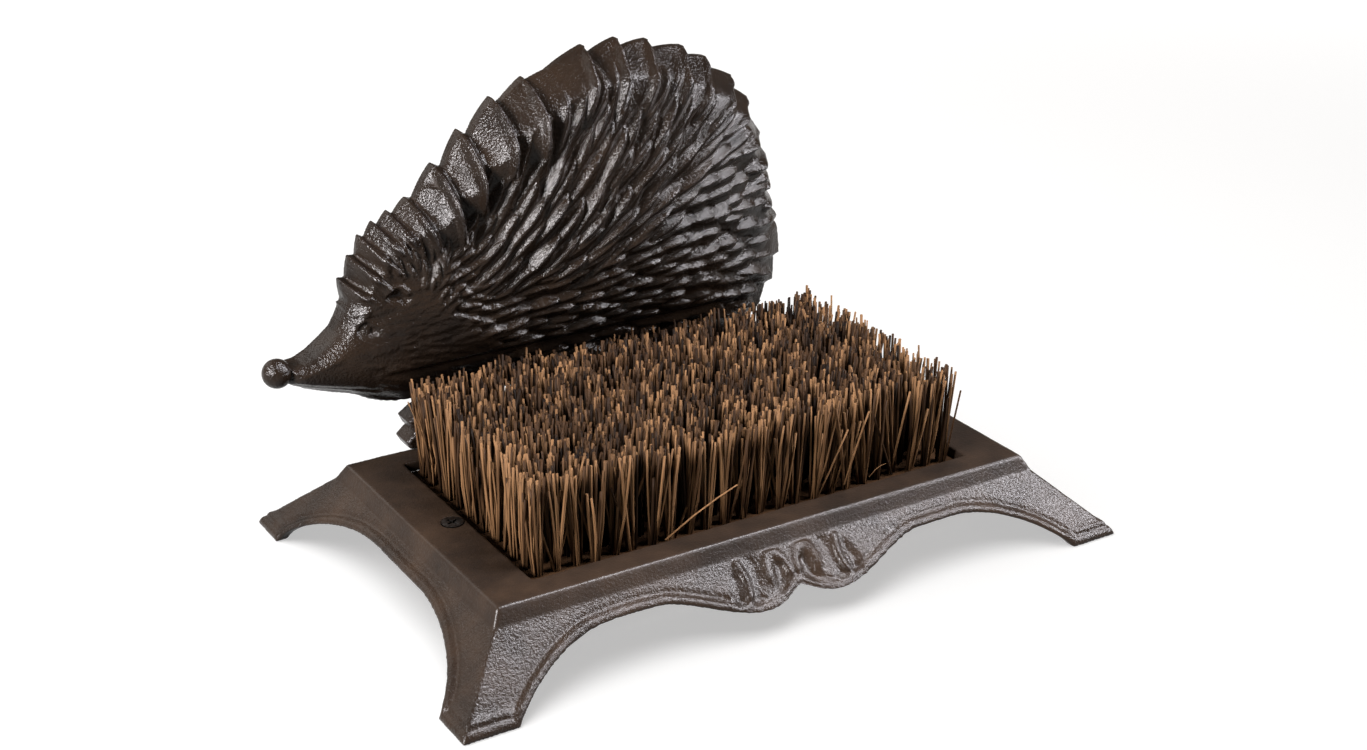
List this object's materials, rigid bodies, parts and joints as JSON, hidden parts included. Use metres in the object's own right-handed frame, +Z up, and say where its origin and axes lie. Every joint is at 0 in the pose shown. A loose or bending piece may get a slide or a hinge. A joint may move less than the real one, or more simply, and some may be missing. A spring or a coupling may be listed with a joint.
{
  "type": "boot brush",
  "caption": "Free-standing boot brush: a low cast iron stand on splayed feet holds a stiff fibre brush, with a cast iron hedgehog in relief standing along its rear rim.",
  "frame": {"origin": "on the floor under the middle of the stand", "axes": "+X along the stand, away from the hedgehog's nose; +Y from the front to the hedgehog at the back; +Z up"},
  "size_m": [0.3139, 0.2016, 0.197],
  "materials": {
    "stand_iron": "sand-cast iron with a dark brown coating, lighter grey where the grain catches light",
    "figure_iron": "smooth cast iron with a glossy dark brown coating",
    "wood": "plain sawn wood",
    "fibre": "stiff plant fibre in mixed tan and dark brown",
    "screw_steel": "darkened steel",
    "bolt_steel": "plain zinc-coated steel"
  },
  "bodies": {
    "root": {"base_frame": "stand_iron", "hedgehog": "figure_iron", "brush_block": "wood", "bristles": "fibre", "brush_screw_left": "screw_steel", "brush_screw_right": "screw_steel", "front_paw_bolt": "bolt_steel", "rear_paw_bolt": "bolt_steel", "front_paw_washer": "bolt_steel", "rear_paw_washer": "bolt_steel"}
  },
  "joints": []
}
